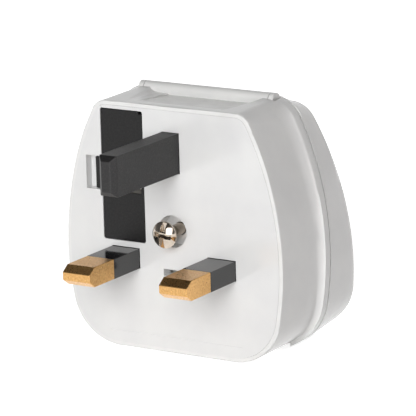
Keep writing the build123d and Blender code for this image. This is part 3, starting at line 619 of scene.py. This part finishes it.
# %% World
PALE_SIDE = (0, 0.8, -0.9)
HEIGHT_SPAN, LIGHT_SPAN = (0, 0.9), (0.22, 0.08)
FACING_SPAN, MIRRORED_SPAN = (-0.35, 0.3), (0.12, 1.0)
world = bpy.data.worlds.new("white room")
bpy.context.scene.world = world
world.use_nodes = True
nodes, links = world.node_tree.nodes, world.node_tree.links
nodes.clear()
out = nodes.new("ShaderNodeOutputWorld")
way_out = nodes.new("ShaderNodeTexCoord").outputs["Generated"]

room = nodes.new("ShaderNodeBackground")
room.inputs["Color"].default_value = (1, 1, 1, 1)
height = nodes.new("ShaderNodeSeparateXYZ")
links.new(way_out, height.inputs[0])
fade = map_range(nodes, links, height.outputs["Z"], HEIGHT_SPAN, LIGHT_SPAN)
links.new(fade, room.inputs["Strength"])

backdrop = nodes.new("ShaderNodeBackground")
backdrop.inputs["Color"].default_value = (1, 1, 1, 1)
facing = nodes.new("ShaderNodeVectorMath")
facing.operation = "DOT_PRODUCT"
facing.inputs[1].default_value = PALE_SIDE
links.new(way_out, facing.inputs[0])
studio = map_range(nodes, links, facing.outputs["Value"], FACING_SPAN, MIRRORED_SPAN)
white_behind = nodes.new("ShaderNodeMath")
white_behind.operation = "MAXIMUM"
links.new(nodes.new("ShaderNodeLightPath").outputs["Is Camera Ray"], white_behind.inputs[0])
links.new(studio, white_behind.inputs[1])
links.new(white_behind.outputs[0], backdrop.inputs["Strength"])

choose = nodes.new("ShaderNodeMixShader")
links.new(is_seen(nodes, links), choose.inputs[0])
links.new(room.outputs[0], choose.inputs[1])
links.new(backdrop.outputs[0], choose.inputs[2])
links.new(choose.outputs[0], out.inputs["Surface"])
print("world ready")

# %% Lamps
LAMP_DISTANCE = 0.7
AIM = Vector((0, 0, 6 * MM))
ROSY = (1, 0.7, 0.7)


def lamp(name, azimuth, elevation, width, height, power, colour=(1, 1, 1)):
    """Flat lamp that looks at the plug, in metres and watts; azimuth 0 is straight before the face."""
    turn, rise = radians(azimuth), radians(elevation)
    way = Vector((sin(turn) * cos(rise), -cos(turn) * cos(rise), sin(rise)))
    light = bpy.data.lights.new(name, "AREA")
    light.shape = "RECTANGLE"
    light.size, light.size_y = width, height
    light.energy = power
    light.color = colour
    holder = bpy.data.objects.new(name, light)
    bpy.context.collection.objects.link(holder)
    holder.location = AIM + LAMP_DISTANCE * way
    holder.rotation_euler = way.to_track_quat("Z", "Y").to_euler()
    return holder


lamp("front lamp", 14, 17, 0.4, 0.44, 3.75)
lamp("side strip", 78, 4, 0.06, 0.6, 0.24, ROSY)
lamp("corner strip", 48, 6, 0.06, 0.6, 0.2)
for name, azimuth, power in (("back lamp", 180, 2.2), ("left lamp", -115, 1.4)):
    behind = lamp(name, azimuth, 6, 0.25, 0.5, power)
    behind.visible_glossy = False
print("lamps: 5")

# %% [markdown]
# ## Camera
# The three pins have standard sizes, so their corners in the photograph fix the camera: a long lens,
# about 32 degrees to the right of the face and 14 above it, rolled by a degree and a half.

# %% Camera
AZIMUTH, ELEVATION, ROLL = radians(32.257), radians(13.804), radians(-1.556)
CAMERA_DISTANCE = 636.8 * MM
FOCAL_PIXELS, PICTURE_PIXELS, SENSOR_WIDTH = 3280.4, 416, 36
target = Vector((8.359, 0, 12.053)) * MM
back = Vector((sin(AZIMUTH) * cos(ELEVATION), -cos(AZIMUTH) * cos(ELEVATION), sin(ELEVATION)))
right = Vector((cos(AZIMUTH), sin(AZIMUTH), 0))
up = back.cross(right)
side = cos(ROLL) * right + sin(ROLL) * up
top = -sin(ROLL) * right + cos(ROLL) * up
lens = bpy.data.cameras.new("photo camera")
lens.sensor_width = SENSOR_WIDTH
lens.lens = FOCAL_PIXELS / PICTURE_PIXELS * SENSOR_WIDTH
lens.clip_start = 0.01
camera = bpy.data.objects.new("photo camera", lens)
bpy.context.collection.objects.link(camera)
place = Matrix((side, top, back)).transposed().to_4x4()
place.translation = target + CAMERA_DISTANCE * back
camera.matrix_world = place
bpy.context.scene.camera = camera
print("camera at", [round(value, 3) for value in camera.location])

# %% [markdown]
# ## View transform
# Colours are shown as they are, with the Standard view transform, and the scene is brought up to date.

# %% Standard view
bpy.context.scene.view_settings.view_transform = "Standard"
bpy.context.view_layer.update()
